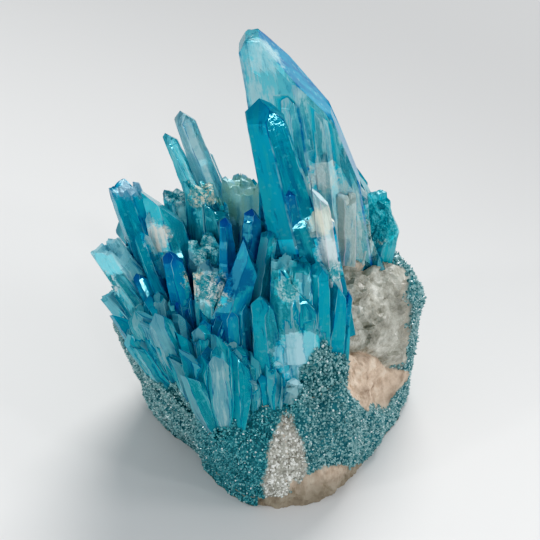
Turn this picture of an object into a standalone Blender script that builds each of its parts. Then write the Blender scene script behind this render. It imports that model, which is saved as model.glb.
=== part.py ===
"""Aqua aura quartz cluster: blue-coated quartz points fanning up from a quartz root on a pinkish host rock.

The frame is metres with +Z up, and the origin is at the centre of the bounding box's underside.
The sizes below are in millimetres. The front, where the crystals run down to a prow, faces -Y.
A crystal is a six-sided prism that narrows upwards, and slanted cuts give it the faces of a quartz tip.
Crystals that overlap are one solid. Each solid stands in a socket of the root or the host rock.
"""

import math
from collections import namedtuple

import bmesh
import bpy
import numpy as np
from mathutils import Matrix, Vector

MM = 0.001
SEAT_GAP = 0.3

# The body, from which the host rock and the quartz root are cut, is bounded by broad sides.
# Each side is a plane through a point. Where sides meet, the body is round.
Side = namedtuple("Side", "name point outwards")
BODY_CENTRE = Vector((0, -2, 18))
BODY_SIDES = (
    Side("left_front", (-17, -22, 6), (-0.80, -0.57, -0.18)),
    Side("left", (-36, 3, 20), (-0.97, 0.05, -0.25)),
    Side("prow", (-3, -38, 3), (-0.15, -0.98, -0.05)),
    Side("front_right", (12, -33.6, 6), (0.37, -0.93, 0.02)),
    Side("right_front", (26, -19, 6), (0.82, -0.55, 0.10)),
    Side("right", (43, 10, 22), (0.97, 0.05, -0.22)),
    Side("back_right", (31, 23, 20), (0.70, 0.70, -0.05)),
    Side("back", (0, 30, 20), (0.0, 1.0, -0.08)),
    Side("back_left", (-26, 20, 20), (-0.72, 0.68, -0.10)),
    Side("top", (-2, -2, 48), (0.0, 0.0, 1.0)),
    Side("top_left", (-27, 0, 39), (-0.55, 0.0, 0.83)),
    Side("top_front", (-2, -26, 35), (0.0, -0.70, 0.71)),
    Side("top_right", (29, 10, 41), (0.45, 0.0, 0.89)),
    Side("top_right_front", (20, -14, 32), (0.55, -0.45, 0.70)),
    Side("top_back", (0, 22, 38), (0.0, 0.62, 0.78)),
    Side("under", (0, 0, -6), (0.0, 0.0, -1.0)),
)
SIDE_SHARPNESS = 11

# Swellings and hollows of the body: the way from its centre, the height, and how narrow each is
Swelling = namedtuple("Swelling", "name towards height focus")
SWELLINGS = (
    Swelling("druse_knob", (0.88, 0.34, 0.22), 3.0, 45),
    Swelling("druse_knob_behind", (0.74, 0.52, 0.32), 2.5, 60),
    Swelling("druse_apron", (0.62, -0.68, -0.33), 2.2, 18),
    Swelling("bare_rock", (0.90, -0.22, -0.12), -2.0, 40),
    Swelling("prow_ridge", (-0.22, -0.90, 0.05), 1.6, 40),
    Swelling("streak_groove", (0.22, -0.95, -0.10), -1.2, 60),
    Swelling("left_shelf", (-0.93, -0.22, 0.12), 1.6, 30),
    Swelling("back_hollow", (0.15, 0.95, -0.10), -2.5, 12),
)
BODY_SEGMENTS = 46
BODY_RINGS = 27
BLOCK_SIZE = 300

# Lumps over the body: waves across the direction from its centre, as (direction, phase, height)
Wave = namedtuple("Wave", "across phase height")
LUMPS = (
    Wave((5.1, 2.3, -3.7), 0.4, 0.9),
    Wave((-3.2, 6.4, 4.1), 2.1, 0.8),
    Wave((8.3, -5.2, 6.1), 4.0, 0.5),
    Wave((-9.7, -8.8, 3.9), 1.3, 0.45),
    Wave((4.4, 13.1, -12.2), 5.2, 0.3),
    Wave((15.3, -6.7, 11.8), 3.3, 0.25),
)

# The bed on which the quartz grew: a plane that rises to the right
BED_POINT = Vector((0, 0, 5))
BED_NORMAL = Vector((-0.08, -0.04, 1)).normalized()

# The rock also stands up at the front right, as a slab past one plane and under another
SLAB_POINT = Vector((16.5, -15.2, 30.8))
SLAB_BACK = Vector((0.785, -0.591, 0.184)).normalized()
SLAB_TOP = Vector((0.257, -0.857, -0.446)).normalized()

# A crystal tip's cuts: each turned about the axis, leaning from it (degrees), and crossing it
# so many half widths above the tip
Cut = namedtuple("Cut", "turn lean rise")
End = namedtuple("End", "taper cuts")
RHOMB_LEAN = 38.2
POINT_RISES = (0, 0.40, 0.05, 0.55, 0.10, 0.45)
CHISEL_RISES = (0, 1.3, 1.5, 0.1, 1.4, 1.2)
SLANT_RISES = (-1.1, 0.6, 1.3, 1.9, 1.2, 0.5)


def six_cuts(rises):
    return tuple(Cut(60 * k, RHOMB_LEAN, rise) for k, rise in enumerate(rises))


ENDS = {
    "point": End(0.22, six_cuts(POINT_RISES)),
    "spire": End(0.42, six_cuts(POINT_RISES)),
    "chisel": End(0.15, six_cuts(CHISEL_RISES)),
    "slant": End(0.20, six_cuts(SLANT_RISES)),
    "snapped": End(0.06, (Cut(-70, 62, -0.3), Cut(120, 58, 0.2), Cut(20, 40, 0.5))),
    "fin": End(0.05, (
        Cut(0, 31, -0.72), Cut(0, 12, 1.20), Cut(0, 85, 0.05),
        Cut(180, 34, 1.21), Cut(-75, 30, 0.9), Cut(90, 35, 0.9),
    )),
}

# Crystals: foot and tip are points on the axis, width is across the flats, flat is thickness over
# width, and roll turns it about its axis. At no roll the width lies along X.
Crystal = namedtuple("Crystal", "foot tip width flat roll end")
CRYSTALS = {
    "front_spire": (
        Crystal((13, -12, 38), (0, -2, 93), 15, 0.7, 0, "spire"),
        Crystal((18, -14, 36), (13, -8, 74), 5, 0.8, 0, "slant"),
        Crystal((11, -15, 38), (6, -9, 74), 4.5, 0.8, 0, "point"),
        Crystal((20, -13, 35), (15, -8, 66), 4.5, 0.8, 0, "point"),
    ),
    "tall_blade": (
        Crystal((17, 12, 27), (5.5, 14, 100), 24, 0.42, 0, "fin"),
        Crystal((13, 7, 34), (6, 9, 87), 6, 0.8, 0, "point"),
        Crystal((19, 8, 34), (13, 11, 85), 7, 0.8, 20, "slant"),
        Crystal((24, 14, 28), (22, 17, 63), 9, 0.8, 0, "slant"),
        Crystal((20, 7, 34), (20, 9, 61), 6, 0.8, 0, "snapped"),
    ),
    "leaning_prism": (
        Crystal((-11, -22, 36), (-1, -13, 64), 8.5, 0.8, 0, "slant"),
        Crystal((-7, -16, 46), (-8, -9, 66), 5, 0.9, 0, "point"),
        Crystal((-3, -15, 45), (-2, -7, 67), 5.5, 0.9, 0, "point"),
        Crystal((-1, -17, 44), (2, -10, 63), 5, 0.9, 0, "snapped"),
    ),
    "twin_points": (
        Crystal((-5.5, 4, 43), (-19.3, 22, 75), 7, 1, 0, "point"),
        Crystal((-9.5, 5, 45), (-23, 20, 70), 6, 1, 0, "point"),
        Crystal((-4, 8, 42), (-14, 22, 64), 4.5, 0.8, 0, "chisel"),
    ),
    "left_fan": (
        Crystal((-20, -12, 34), (-33, 9, 64), 8.5, 0.7, 20, "snapped"),
        Crystal((-14, -16, 33), (-25, 4, 67), 10.5, 0.8, 0, "slant"),
        Crystal((-19, -15, 32), (-26, -1, 62), 3.8, 0.8, 0, "chisel"),
        Crystal((-17, -20, 31), (-37.5, 0, 52.5), 9.5, 0.8, 0, "snapped"),
        Crystal((-17, -16, 32), (-31, 2, 54), 6, 0.8, 0, "snapped"),
        Crystal((-13, -24, 26), (-21, -11, 58), 6.5, 0.9, 0, "point"),
        Crystal((-14, -24, 25), (-29, -9, 50), 5, 0.9, 0, "point"),
        Crystal((-14, -24, 23), (-34, -8, 45), 6, 0.8, 0, "point"),
        Crystal((-16, -21, 23), (-38, -3, 41), 6, 0.8, 0, "snapped"),
        Crystal((-13, -26, 24), (-24, -13, 48), 5, 0.9, 0, "point"),
        Crystal((-12, -27, 22), (-17, -15, 49), 5.5, 0.9, 0, "point"),
        Crystal((-15, -25, 25), (-20, -17, 47), 6, 0.8, 0, "point"),
        Crystal((-18, -23, 24), (-27, -14, 44), 5.5, 0.8, 0, "point"),
        Crystal((-20, -20, 24), (-32, -9, 42), 5.5, 0.8, 0, "slant"),
    ),
    "front_fan": (
        Crystal((-7, -27, 20), (-8, -19, 50), 8.5, 0.8, 0, "point"),
        Crystal((3, -27, 20), (0, -20, 52), 8.5, 0.8, 10, "point"),
        Crystal((-10, -27, 23), (-12, -18, 48), 6.5, 0.8, 0, "slant"),
        Crystal((9, -26, 20), (8, -17, 59), 10.5, 0.6, 0, "slant"),
        Crystal((7, -22, 36), (7, -14, 60), 10.5, 0.8, 0, "snapped"),
        Crystal((13, -24, 20), (13, -15, 58), 7, 0.8, 0, "point"),
        Crystal((-4, -27, 22), (-4, -19, 50), 5, 0.8, 0, "point"),
        Crystal((15, -22, 24), (18, -11, 53), 7, 0.8, 0, "slant"),
        Crystal((16, -20, 22), (20, -11, 47), 5, 0.8, 0, "point"),
    ),
    "centre_blocks": (
        Crystal((-12, -6, 40), (-15, 6, 67), 8, 0.8, 0, "snapped"),
        Crystal((-6, -2, 40), (-5, 10, 65), 10, 0.7, 0, "snapped"),
        Crystal((-8, -8, 41), (-11, 2, 63), 7, 0.9, 0, "snapped"),
        Crystal((-17, -3, 40), (-21, 8, 62), 6, 0.8, 0, "snapped"),
        Crystal((-12, -14, 38), (-13, -6, 58), 9, 0.7, 0, "snapped"),
        Crystal((-10, -22, 34), (-12, -13, 56), 8.5, 0.8, 0, "snapped"),
    ),
    "rear_ridge": (
        Crystal((22, 17, 24), (27, 22, 57), 9, 0.9, 0, "slant"),
        Crystal((24, 15, 22), (29, 21, 52), 9, 0.8, 20, "snapped"),
        Crystal((26, 12, 22), (32, 18, 48), 8, 0.8, 0, "point"),
        Crystal((25, 8, 24), (30, 13, 43), 7, 0.8, 0, "slant"),
        Crystal((22, 10, 26), (25, 12, 47), 7, 0.8, 10, "snapped"),
        Crystal((22, 22, 22), (24, 32, 52), 8, 0.8, 10, "point"),
    ),
    "back_fan": (
        Crystal((8, 18, 26), (7, 28, 70), 10, 0.8, 0, "slant"),
        Crystal((13, 20, 24), (17, 31, 60), 9, 0.8, 15, "point"),
        Crystal((8, 21, 20), (10, 36, 46), 8, 0.9, 0, "point"),
    ),
    "back_left_fan": (
        Crystal((-1, 14, 25), (-2, 31, 49), 8, 0.9, 0, "point"),
        Crystal((-6, 13, 25), (-11, 31, 47), 8, 0.8, 20, "snapped"),
        Crystal((-11, 10, 26), (-21, 28, 44), 7, 0.8, 0, "slant"),
        Crystal((-15, 6, 28), (-30, 20, 46), 7, 0.8, 0, "slant"),
        Crystal((-17, 2, 29), (-35, 14, 48), 7, 0.8, 10, "point"),
        Crystal((-3, 17, 20), (-6, 34, 40), 7, 0.9, 0, "slant"),
    ),
}

# Small crystals that cover the root between the large ones, spread evenly over its crown
Stub = namedtuple("Stub", "count turn lowest sunk rise upright width seed")
STUBS = Stub(count=80, turn=2.39996, lowest=0.36, sunk=5.0, rise=5.5, upright=1.7, width=4.4, seed=11)
MILKY_SIDE = Vector((0.80, -0.12, 0.45)).normalized()
MILKY_SPREAD = 0.80


# Looks of the solids: colour, roughness and how much light passes
CLEAR_BLUE = (0.10, 0.55, 0.68)
DEEP_BLUE = (0.01, 0.30, 0.55)
SEA_GREEN = (0.02, 0.42, 0.48)
PALE_BLUE = (0.30, 0.62, 0.72)
FINISHES = {
    "front_spire": (SEA_GREEN, 0.08, 0.6),
    "tall_blade": (PALE_BLUE, 0.08, 0.6),
    "leaning_prism": (DEEP_BLUE, 0.08, 0.6),
    "twin_points": (CLEAR_BLUE, 0.08, 0.6),
    "left_fan": (SEA_GREEN, 0.10, 0.6),
    "front_fan": (CLEAR_BLUE, 0.10, 0.6),
    "centre_blocks": (PALE_BLUE, 0.10, 0.6),
    "rear_ridge": (DEEP_BLUE, 0.15, 0.5),
    "back_fan": (SEA_GREEN, 0.10, 0.6),
    "back_left_fan": (CLEAR_BLUE, 0.10, 0.6),
    "quartz_root": (SEA_GREEN, 0.50, 0.0),
    "host_rock": ((0.55, 0.38, 0.30), 0.90, 0.0),
}


def frame_along(foot, tip):
    """The axes of a crystal: its width as near X as it can be, its thickness, and its length."""
    along = (Vector(tip) - Vector(foot)).normalized()
    across = (Vector((1, 0, 0)) - along * along.x).normalized()
    deep = along.cross(across)
    return Matrix((across, deep, along)).transposed()


def cut(mesh, point, normal):
    """Takes off what lies past the plane and closes the cut with a flat face."""
    everything = mesh.verts[:] + mesh.edges[:] + mesh.faces[:]
    made = bmesh.ops.bisect_plane(
        mesh, geom=everything, plane_co=point, plane_no=normal, clear_outer=True
    )
    rim = [e for e in made["geom_cut"] if isinstance(e, bmesh.types.BMEdge)]
    if rim:
        bmesh.ops.holes_fill(mesh, edges=rim)


def crystal_mesh(spec, grow=0.0):
    """A tapering hexagonal prism, its tip cut by slanted planes. grow makes it fatter all round."""
    length = (Vector(spec.tip) - Vector(spec.foot)).length
    end = ENDS[spec.end]
    half = spec.width / 2
    tall = length + 3 * half
    to_corner = 1 / math.cos(math.pi / 6)
    mesh = bmesh.new()
    bmesh.ops.create_cone(
        mesh,
        cap_ends=True,
        segments=6,
        radius1=(half + grow) * to_corner,
        radius2=(half * (1 - end.taper * tall / length) + grow) * to_corner,
        depth=tall,
        matrix=Matrix.Translation((0, 0, tall / 2)),
    )
    for c in end.cuts:
        out = Vector((math.cos(math.radians(c.turn)), math.sin(math.radians(c.turn)), 0))
        lean = math.radians(c.lean)
        normal = out * math.cos(lean) + Vector((0, 0, math.sin(lean)))
        crossing = Vector((0, 0, length + c.rise * half))
        cut(mesh, crossing + normal * grow, normal)
    place = (
        Matrix.Translation(spec.foot)
        @ frame_along(spec.foot, spec.tip).to_4x4()
        @ Matrix.Rotation(math.radians(spec.roll), 4, "Z")
        @ Matrix.Diagonal((1, spec.flat, 1, 1))
        @ Matrix.Translation((0, 0, -grow))
    )
    mesh.transform(Matrix.Scale(MM, 4) @ place)
    bmesh.ops.recalc_face_normals(mesh, faces=mesh.faces)
    return mesh


def body_reach(towards):
    """How far the body reaches along each unit direction: the nearest side, rounded, with lumps."""
    nearness = np.zeros(len(towards))
    for side in BODY_SIDES:
        out = Vector(side.outwards).normalized()
        distance = (Vector(side.point) - BODY_CENTRE).dot(out)
        facing = np.clip(towards @ np.array(out), 0, None)
        nearness += (facing / distance) ** SIDE_SHARPNESS
    reach = nearness ** (-1 / SIDE_SHARPNESS)
    for swelling in SWELLINGS:
        middle = np.array(Vector(swelling.towards).normalized())
        reach += swelling.height * np.exp(-swelling.focus * (1 - towards @ middle))
    for wave in LUMPS:
        reach += wave.height * np.sin(towards @ np.array(wave.across) + wave.phase)
    return reach


def body_mesh():
    mesh = bmesh.new()
    bmesh.ops.create_uvsphere(mesh, u_segments=BODY_SEGMENTS, v_segments=BODY_RINGS, radius=1.0)
    bmesh.ops.triangulate(mesh, faces=mesh.faces)
    towards = np.array([v.co.normalized() for v in mesh.verts])
    reach = body_reach(towards)
    for v, direction, far in zip(mesh.verts, towards, reach):
        v.co = (BODY_CENTRE + Vector(direction) * float(far)) * MM
    return mesh


def stubs():
    """Small crystals on a spiral over the root's crown, none on its milky, broken right side."""
    chance = np.random.default_rng(STUBS.seed)
    found = []
    for i in range(STUBS.count):
        up = 1 - (1 - STUBS.lowest) * (i + 0.5) / STUBS.count
        turn = i * STUBS.turn
        level = math.sqrt(1 - up * up)
        towards = Vector((level * math.cos(turn), level * math.sin(turn), up))
        stray = Vector(chance.uniform(-0.25, 0.25, 3))
        size = float(chance.uniform(0.7, 1.3))
        if towards.dot(MILKY_SIDE) > MILKY_SPREAD:
            continue
        reach = float(body_reach(np.array([towards]))[0])
        ground = BODY_CENTRE + towards * reach
        along = (towards + Vector((0, 0, STUBS.upright)) + stray).normalized()
        foot = ground - along * STUBS.sunk
        tip = ground + along * STUBS.rise * size
        end = "snapped" if i % 3 == 0 else "point"
        found.append(Crystal(foot, tip, STUBS.width * size, 0.85, 37 * i % 60, end))
    return found


def block_mesh(planes):
    """What of a great cube is left when the part past each plane is taken off."""
    mesh = bmesh.new()
    bmesh.ops.create_cube(mesh, size=BLOCK_SIZE * MM)
    for point, outwards in planes:
        cut(mesh, point, outwards)
    return mesh


def new_object(name, mesh, collection):
    data = bpy.data.meshes.new(name)
    mesh.to_mesh(data)
    mesh.free()
    made = bpy.data.objects.new(name, data)
    collection.objects.link(made)
    return made


def new_collection(name):
    made = bpy.data.collections.new(name)
    bpy.context.scene.collection.children.link(made)
    return made


def combine(base, others, operation):
    """Joins the other objects to the base, or cuts them out of it, and keeps the result as its mesh."""
    for other in others:
        boolean = base.modifiers.new(other.name, "BOOLEAN")
        boolean.operation = operation
        boolean.solver = "EXACT"
        boolean.object = other
    settled = base.evaluated_get(bpy.context.evaluated_depsgraph_get())
    result = bpy.data.meshes.new_from_object(settled)
    base.modifiers.clear()
    base.data = result


def keep_largest(thing):
    """Clears away the loose crumbs that a cut leaves beside the main body."""
    mesh = bmesh.new()
    mesh.from_mesh(thing.data)
    waiting = {face: None for face in mesh.faces}
    islands = []
    while waiting:
        growing = [waiting.popitem()[0]]
        island = []
        while growing:
            face = growing.pop()
            island.append(face)
            beside = {f: None for edge in face.edges for f in edge.link_faces if f in waiting}
            for f in beside:
                del waiting[f]
            growing.extend(beside)
        islands.append(island)
    islands.sort(key=lambda faces: sum(f.calc_area() for f in faces))
    for crumb in islands[:-1]:
        bmesh.ops.delete(mesh, geom=crumb, context="FACES")
    mesh.to_mesh(thing.data)
    mesh.free()


def remove(things):
    for thing in things:
        bpy.data.objects.remove(thing)


def bundle(name, specs, grow, collection):
    """One solid from crystals that overlap."""
    pieces = [new_object(f"{name}_{i}", crystal_mesh(s, grow), collection) for i, s in enumerate(specs)]
    base = pieces[0]
    combine(base, pieces[1:], "UNION")
    remove(pieces[1:])
    base.name = name
    return base


def near(one, other):
    """Whether the boxes of two objects meet, so that far ones aren't cut from each other."""
    spans = []
    for thing in (one, other):
        points = np.array([v.co for v in thing.data.vertices])
        spans.append((points.min(axis=0), points.max(axis=0)))
    return bool(np.all(spans[0][0] <= spans[1][1]) and np.all(spans[1][0] <= spans[0][1]))


def dress(thing, colour, roughness, transmission):
    """Gives a solid a material of its own, and flat faces."""
    material = bpy.data.materials.new(thing.name)
    material.use_nodes = True
    material.diffuse_color = (*colour, 1)
    shader = material.node_tree.nodes["Principled BSDF"]
    shader.inputs["Base Color"].default_value = (*colour, 1)
    shader.inputs["Roughness"].default_value = roughness
    shader.inputs["Metallic"].default_value = 0.0
    shader.inputs["Transmission Weight"].default_value = transmission
    thing.data.materials.clear()
    thing.data.materials.append(material)
    thing.data.shade_flat()


def trim(thing, planes):
    """Takes off what lies past each plane."""
    mesh = bmesh.new()
    mesh.from_mesh(thing.data)
    for point, outwards in planes:
        cut(mesh, point, outwards)
    mesh.to_mesh(thing.data)
    mesh.free()


def main():
    for old in list(bpy.data.objects):
        bpy.data.objects.remove(old)
    cluster = new_collection("aqua_aura_quartz_cluster")
    helpers = new_collection("cutters")

    solids = []
    sockets = []
    for name, specs in CRYSTALS.items():
        solid = bundle(name, specs, 0.0, cluster)
        combine(solid, [s for s in sockets if near(solid, s)], "DIFFERENCE")
        solids.append(solid)
        sockets.append(bundle(name + "_socket", specs, SEAT_GAP, helpers))

    rock = new_object("host_rock", body_mesh(), cluster)
    root = new_object("quartz_root", body_mesh(), cluster)
    small = [new_object(f"stub_{i}", crystal_mesh(s), helpers) for i, s in enumerate(stubs())]
    combine(root, small, "UNION")
    bed, edge, gap = BED_POINT * MM, SLAB_POINT * MM, SEAT_GAP * MM
    slab = new_object("slab", block_mesh([(edge, -SLAB_BACK), (edge, -SLAB_TOP)]), helpers)
    wide_sides = [(edge - SLAB_BACK * gap, -SLAB_BACK), (edge - SLAB_TOP * gap, -SLAB_TOP)]
    wide_slab = new_object("wide_slab", block_mesh(wide_sides), helpers)
    above_bed = new_object("above_bed", block_mesh([(bed, -BED_NORMAL)]), helpers)
    combine(above_bed, [slab], "DIFFERENCE")
    trim(root, [(bed + BED_NORMAL * gap, -BED_NORMAL)])
    combine(root, [wide_slab], "DIFFERENCE")
    trim(rock, [(Vector((0, 0, 0)), Vector((0, 0, -1)))])
    combine(rock, [above_bed], "DIFFERENCE")
    for thing in (root, rock):
        combine(thing, [s for s in sockets if near(thing, s)], "DIFFERENCE")
        solids.append(thing)
    remove(small + sockets + [slab, wide_slab, above_bed])

    for solid in solids:
        keep_largest(solid)
    points = np.array([v.co for solid in solids for v in solid.data.vertices])
    middle = (points.min(axis=0) + points.max(axis=0)) / 2
    for solid in solids:
        solid.data.transform(Matrix.Translation((-middle[0], -middle[1], 0)))
        dress(solid, *FINISHES[solid.name])


main()
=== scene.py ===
# Looks for the aqua aura quartz cluster: glassy coated crystals, sparkling druse, milky quartz, pink rock.
# Crystal tables are in millimetres, in the order foot, tip, width, thickness over width, roll, end, shade.
import math
import bpy
import numpy as np
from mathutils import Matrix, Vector


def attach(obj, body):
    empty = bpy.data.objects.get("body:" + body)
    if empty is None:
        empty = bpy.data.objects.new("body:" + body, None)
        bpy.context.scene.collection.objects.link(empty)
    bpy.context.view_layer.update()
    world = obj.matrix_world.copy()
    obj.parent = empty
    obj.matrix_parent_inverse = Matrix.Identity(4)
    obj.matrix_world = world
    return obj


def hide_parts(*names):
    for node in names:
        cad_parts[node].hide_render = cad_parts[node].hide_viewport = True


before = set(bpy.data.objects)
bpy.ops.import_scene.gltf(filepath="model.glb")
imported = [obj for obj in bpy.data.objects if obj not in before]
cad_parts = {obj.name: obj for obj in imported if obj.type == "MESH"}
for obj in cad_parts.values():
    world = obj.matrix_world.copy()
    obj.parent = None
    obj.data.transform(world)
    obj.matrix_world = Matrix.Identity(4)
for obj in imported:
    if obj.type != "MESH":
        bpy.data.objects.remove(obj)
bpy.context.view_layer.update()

mm = 0.001
middle = np.array([-0.017, 0.0, 0.0])  # where the tables' origin lies, in mm, from the frame's origin
sixTurns = np.arange(6) * math.pi / 3
sixOut = np.stack([np.cos(sixTurns), np.sin(sixTurns)], axis=1)
scene = bpy.context.scene


# Small helpers

def unit(v):
    v = np.asarray(v, float)
    return v / np.linalg.norm(v)


def makeObject(name, points, faces):
    # points in mm, in the tables' place
    mesh = bpy.data.meshes.new(name)
    mesh.from_pydata(((points - middle) * mm).tolist(), [], faces)
    mesh.update()
    made = bpy.data.objects.new(name, mesh)
    scene.collection.objects.link(made)
    return made


def setValues(mesh, name, values):
    layer = mesh.attributes.new(name, "FLOAT", "POINT")
    layer.data.foreach_set("value", np.asarray(values, dtype=np.float32))


def applied(thing, operation, others):
    # The mesh with the others joined to it or cut out of it.
    for other in others:
        step = thing.modifiers.new(other.name, "BOOLEAN")
        step.operation = operation
        step.solver = "MANIFOLD"
        step.object = other
    settled = thing.evaluated_get(bpy.context.evaluated_depsgraph_get())
    mesh = bpy.data.meshes.new_from_object(settled)
    thing.modifiers.clear()
    thing.data = mesh


def drop(things):
    for thing in things:
        bpy.data.objects.remove(thing)


# Crystals
# A crystal's cross-section is bounded by six lines, 60 degrees apart. Each line's distance from the
# axis is a prism that narrows upwards in small growth steps, or the tip's slanted face where that is
# nearer. A line further out than its two neighbours' crossing is pulled in to it, so corners are exact.

crystalShape = {
    # columns along each side of the six (the outer two leave a fine bevel), rows, rows in the tip, rings of the cap
    "fine": ((0.04, 0.20, 0.36, 0.52, 0.68, 0.84, 0.96), 24, 16, 11),
    "small": ((0.07, 0.5, 0.93), 8, 8, 4),
    "tipSlope": 0.787,      # how fast a tip's face closes in, for one of height
    "point": {"taper": 0.22, "rises": (0, 0.40, 0.05, 0.55, 0.10, 0.45), "cuts": ()},
    "chisel": {"taper": 0.15, "rises": (0, 1.3, 1.5, 0.1, 1.4, 1.2), "cuts": ()},
    "slant": {"taper": 0.20, "rises": (-1.1, 0.6, 1.3, 1.9, 1.2, 0.5), "cuts": ()},
    "snapped": {"taper": 0.06, "rises": (), "cuts": ((-70, 62, -0.3), (120, 58, 0.2), (20, 40, 0.5))},
    "fin": {"taper": 0.05, "rises": (), "cuts": ((0, 31, -0.72), (0, 12, 1.20), (0, 85, 0.05), (180, 34, 1.21),
                                                  (-75, 30, 0.9), (90, 35, 0.9))},
    "spire": {"taper": 0.42, "rises": (0, 0.40, 0.05, 0.55, 0.10, 0.45), "cuts": ()},
    "rib": {"taper": 0.12, "rises": (-0.9, 0.5, 1.0, 1.6, 0.9, 0.4), "cuts": (), "foot": 0.18},
    "ribPoint": {"taper": 0.20, "rises": (0, 0.40, 0.05, 0.55, 0.10, 0.45), "cuts": (), "foot": 0.18},
    "footRise": 0.6,        # share of a rib's length over which it widens from its narrow foot
    "steps": 5,             # growth steps a face
    "stepDepth": 0.16,      # mm
    "stepRise": 0.25,
    "breakDepth": 0.22,     # mm, of the ripples on a snapped end
    "chipSize": 2.4,        # mm
    "chipTilt": 0.55,
}


def sectionDistances(z, spec, chance, grow):
    # Distance of the six sides from the axis at heights z: prism less its growth steps, or the tip's face.
    length, half, end = spec["length"], spec["width"] / 2, spec["shape"]
    foot = end.get("foot", 1.0)
    swell = foot + (1 - foot) * smooth(z / length, 0, crystalShape["footRise"])
    prism = (half * (1 - end["taper"] * z / length) * swell)[..., None] * np.ones(6)
    for at, side, depth in chance["steps"]:
        ramp = np.clip((z - at * length) / crystalShape["stepRise"], 0, 1)
        prism[..., side] -= depth * ramp
    a = prism + grow
    if len(end["rises"]):
        crossing = length + np.array(end["rises"]) * half
        tip = (crossing - z[..., None]) * crystalShape["tipSlope"] + grow
        a = np.minimum(a, tip)
    for _ in range(3):
        a = np.minimum(a, np.roll(a, 1, axis=-1) + np.roll(a, -1, axis=-1))
    return a


def openness(a):
    # How far the narrowest pair, or trio, of opposite sides still is from closing.
    pairs = a + np.roll(a, 3, axis=-1)
    trios = a + np.roll(a, 2, axis=-1) + np.roll(a, 4, axis=-1)
    return min(pairs.min(), trios.min())


def corners(a):
    # Where each side crosses the next.
    b = np.roll(a, -1, axis=-1)
    nextOut = np.roll(sixOut, -1, axis=0)
    return ((a - b / 2)[..., None] * sixOut + (b - a / 2)[..., None] * nextOut) / 0.75


def axes(spec):
    # Across, deep and along: at no roll the width lies as near X as it can.
    foot, tip = np.array(spec["foot"], float), np.array(spec["tip"], float)
    along = (tip - foot) / np.linalg.norm(tip - foot)
    across = np.array([1.0, 0, 0]) - along * along[0]
    across /= np.linalg.norm(across)
    deep = np.cross(along, across)
    turn = math.radians(spec["roll"])
    sideways = across * math.cos(turn) + deep * math.sin(turn)
    thick = deep * math.cos(turn) - across * math.sin(turn)
    return sideways, thick * spec["flat"], along


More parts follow.
